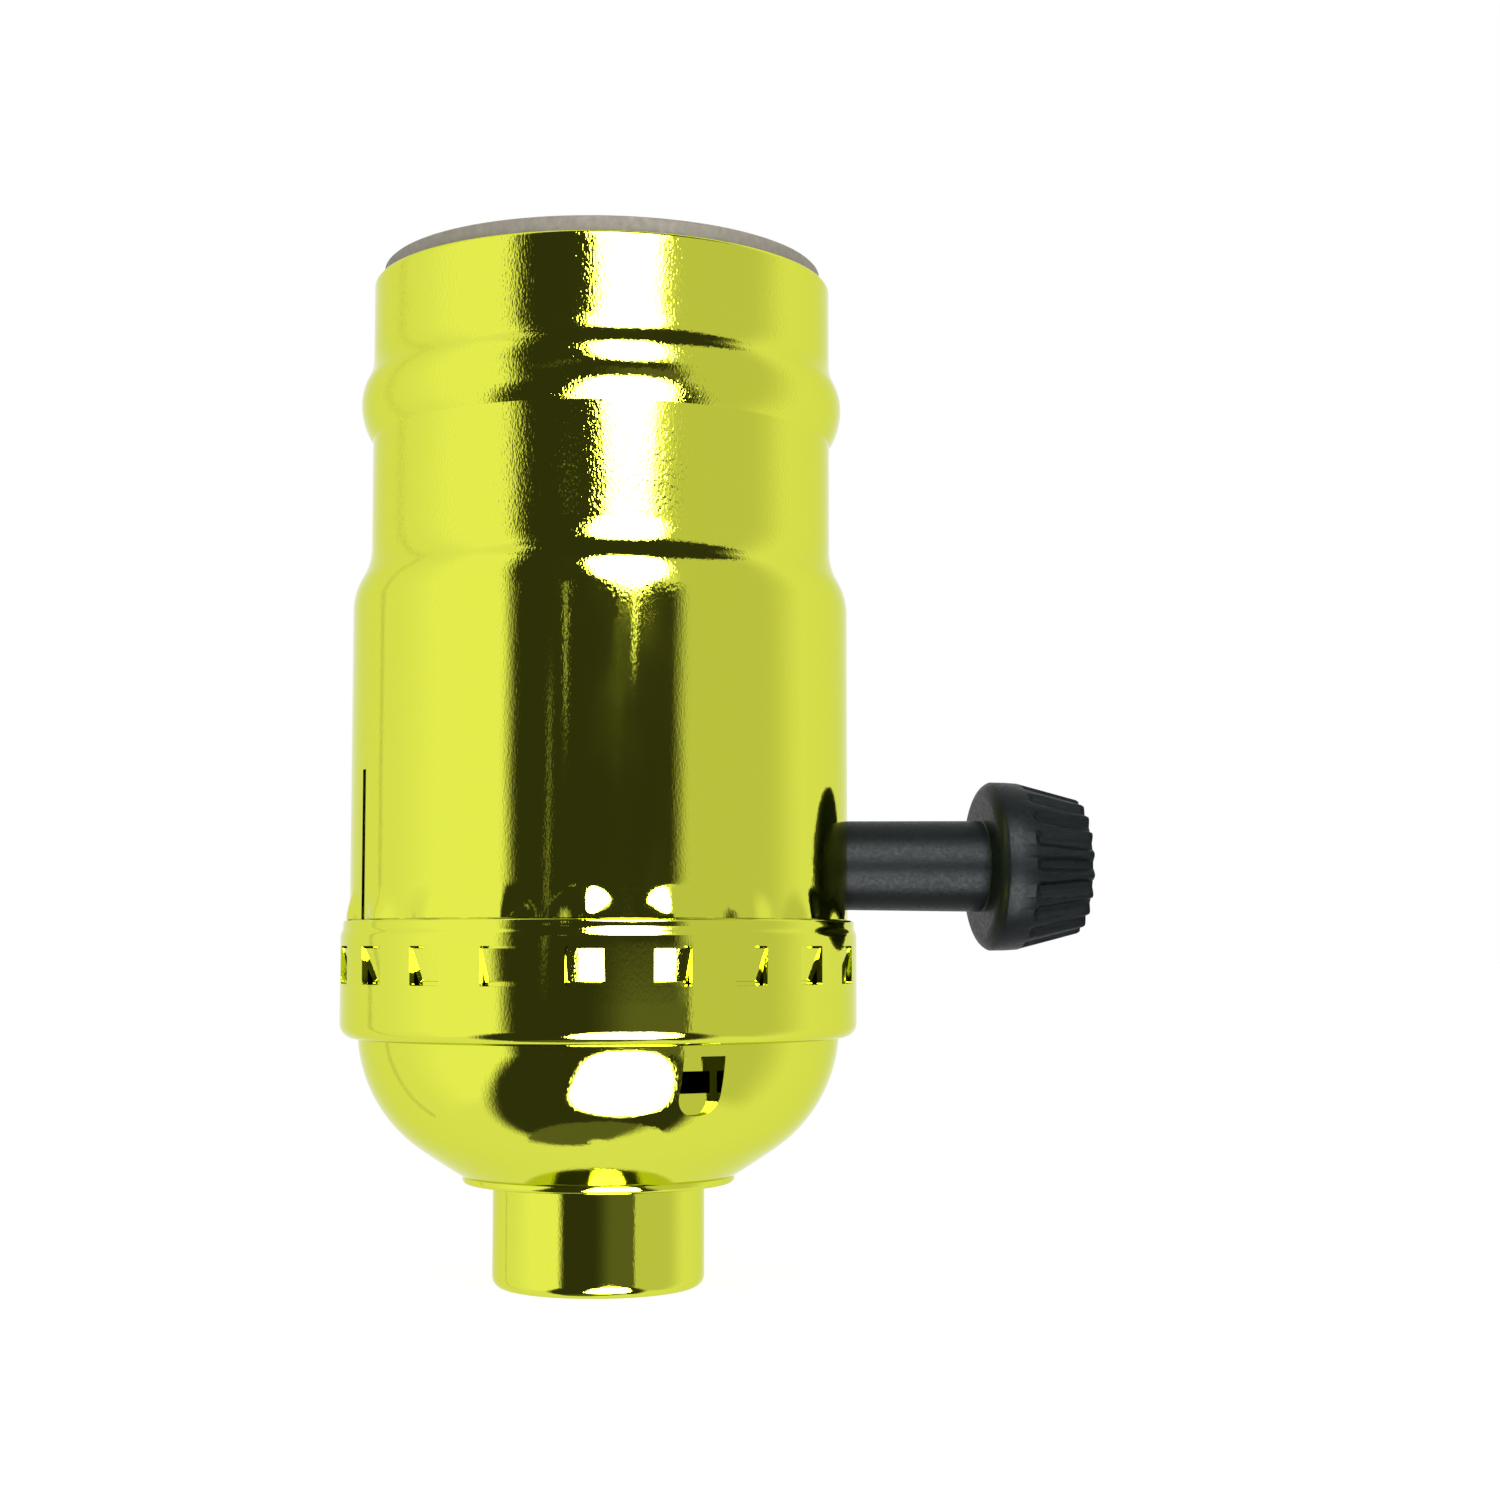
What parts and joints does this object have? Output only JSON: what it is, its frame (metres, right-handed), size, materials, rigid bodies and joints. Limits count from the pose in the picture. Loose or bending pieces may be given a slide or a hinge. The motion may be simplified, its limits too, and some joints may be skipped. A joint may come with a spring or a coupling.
{
  "type": "lamp holder",
  "caption": "Brass lamp holder with a side turn-knob switch, a medium screw shell and a threaded neck for a lamp pipe.",
  "frame": {"origin": "on the holder's axis, at the mouth of the threaded pipe bore in the neck's bottom face, which it stands on", "axes": "+Z along the holder's axis, out of the lamp's mouth; +X along the knob's shaft, out of the knob"},
  "size_m": [0.0515, 0.0352, 0.0697],
  "materials": {
    "polished_brass": "polished and lacquered",
    "contact_brass": "mill finish",
    "nickel_plate": "nickel plated",
    "aluminium": "drawn, bright",
    "steel": "zinc plated",
    "fibre": "matt vulcanised fibre",
    "phenolic": "moulded phenolic",
    "knob_plastic": "moulded, satin"
  },
  "bodies": {
    "holder": {"cap": "polished_brass", "cap_bushing": "polished_brass", "set_screw": "steel", "cap_insulator": "fibre", "outer_shell": "polished_brass", "insulating_liner": "fibre", "lower_housing": "phenolic", "upper_housing": "phenolic", "screw_shell": "aluminium", "housing_rivets": "steel", "line_terminal": "contact_brass", "line_screw": "contact_brass", "neutral_terminal": "nickel_plate", "neutral_screw": "nickel_plate", "load_contact": "contact_brass", "centre_contact": "contact_brass", "contact_rivet": "contact_brass", "detent_spring": "steel"},
    "switch_rotor": {"knob": "knob_plastic", "knob_shaft": "steel", "switch_drum": "phenolic", "rotor_contact": "contact_brass", "thrust_washer": "fibre", "drive_pin": "steel"}
  },
  "joints": [
    {"name": "knob_turn", "type": "hinge", "parent": "holder", "child": "switch_rotor", "pos_m": [0, 0, 0.0286], "axis": [1, 0, 0], "continuous": true, "deforming": ["detent_spring"]}
  ]
}
